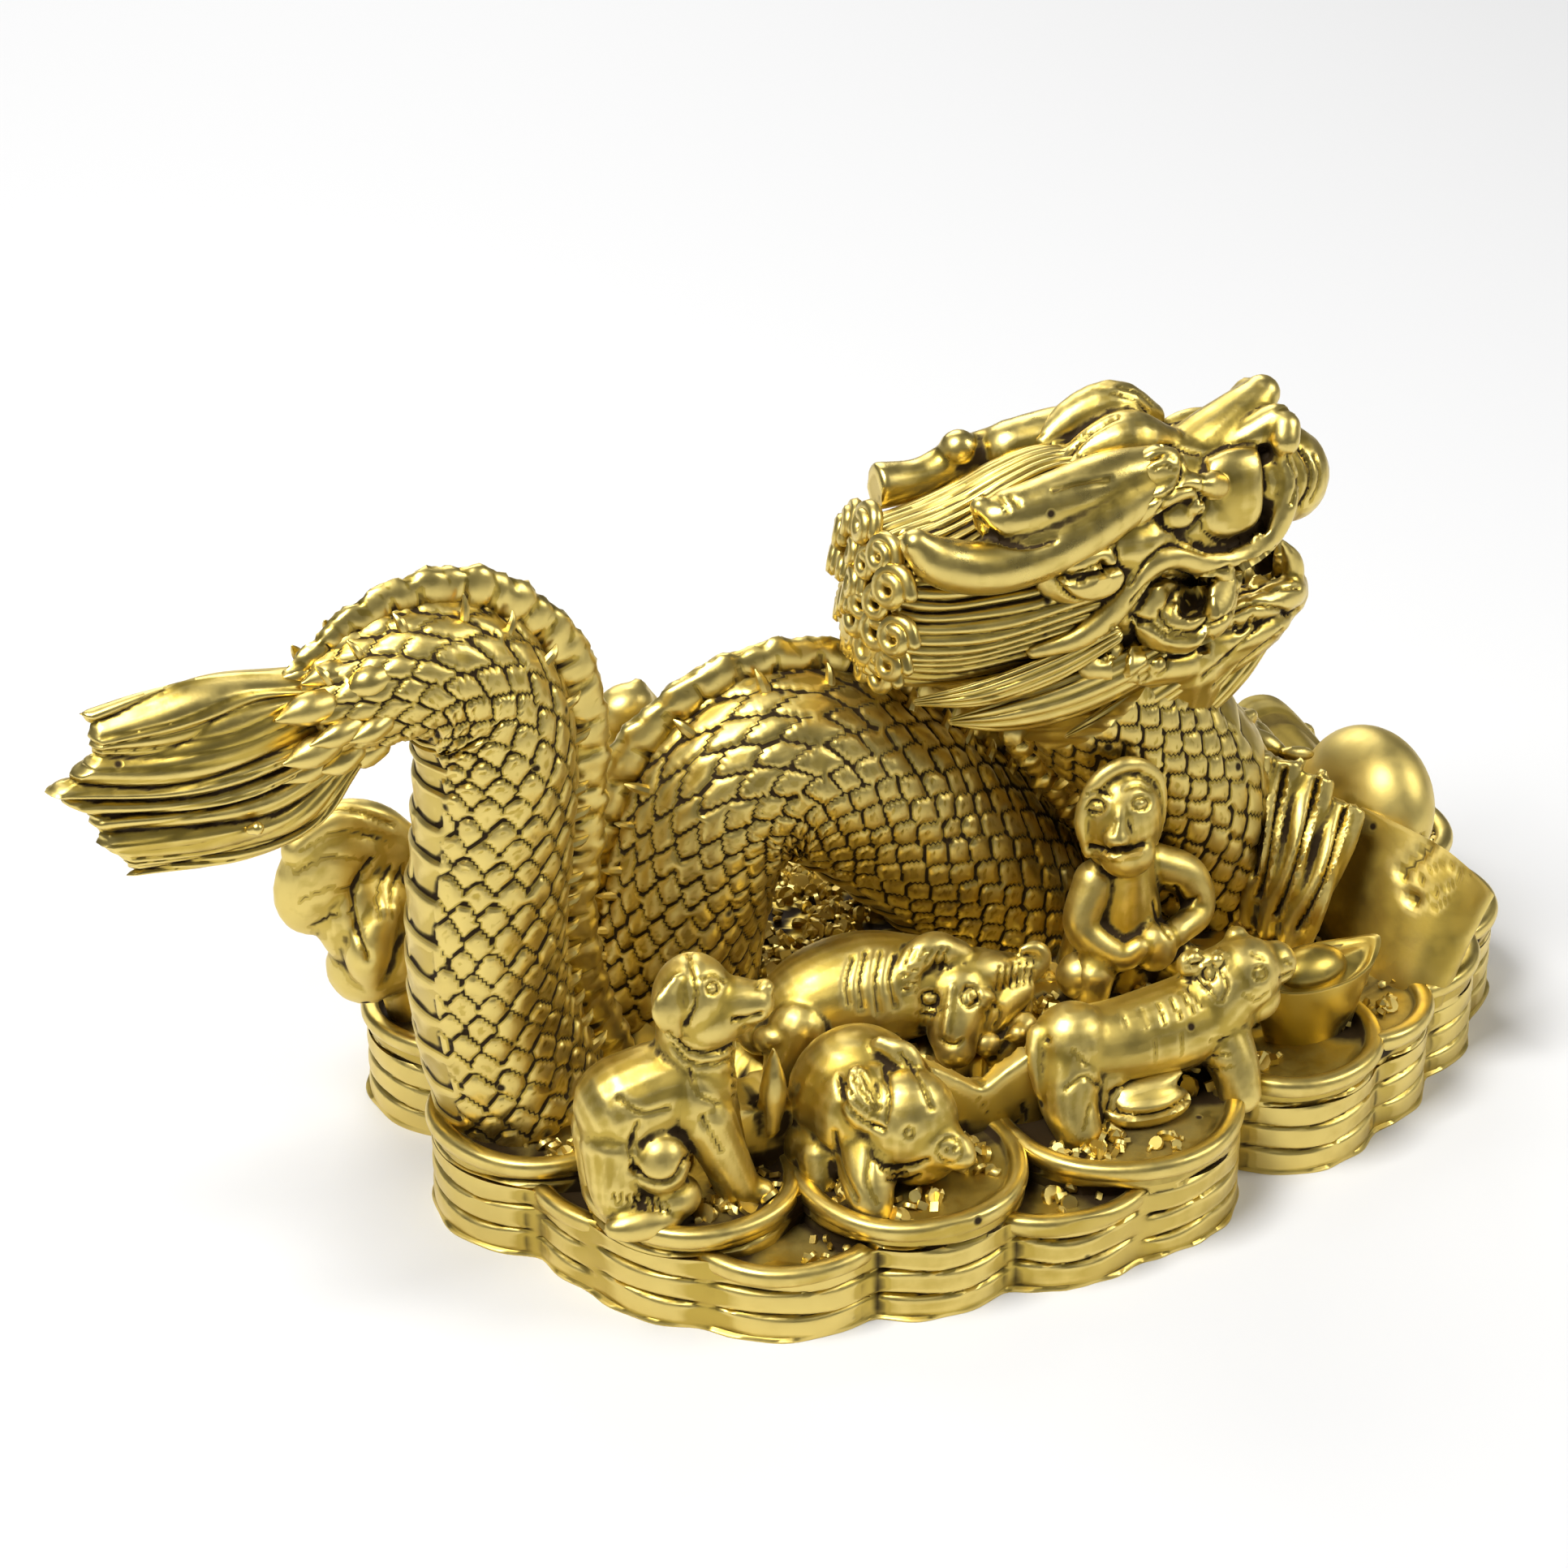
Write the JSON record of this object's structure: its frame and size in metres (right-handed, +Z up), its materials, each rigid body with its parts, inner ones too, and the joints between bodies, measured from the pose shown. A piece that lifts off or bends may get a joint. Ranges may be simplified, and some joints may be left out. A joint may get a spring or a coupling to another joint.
{
  "type": "dragon figure",
  "caption": "Gold-painted cast resin figurine of a coiling dragon on an oval bed of coin stacks, with small animals and two boat-shaped ingots around it.",
  "frame": {"origin": "middle of the flat underside of the bed of coins", "axes": "+X from the tail to the dragon's head, along the long side; +Y to the back of the figure; +Z up"},
  "size_m": [0.17, 0.0977, 0.0786],
  "materials": {
    "gold_resin": "metallic gold paint on cast resin, with darker paint left in the grooves and bright, rubbed high spots"
  },
  "bodies": {
    "root": {"dragon_figure": "gold_resin"}
  },
  "joints": []
}
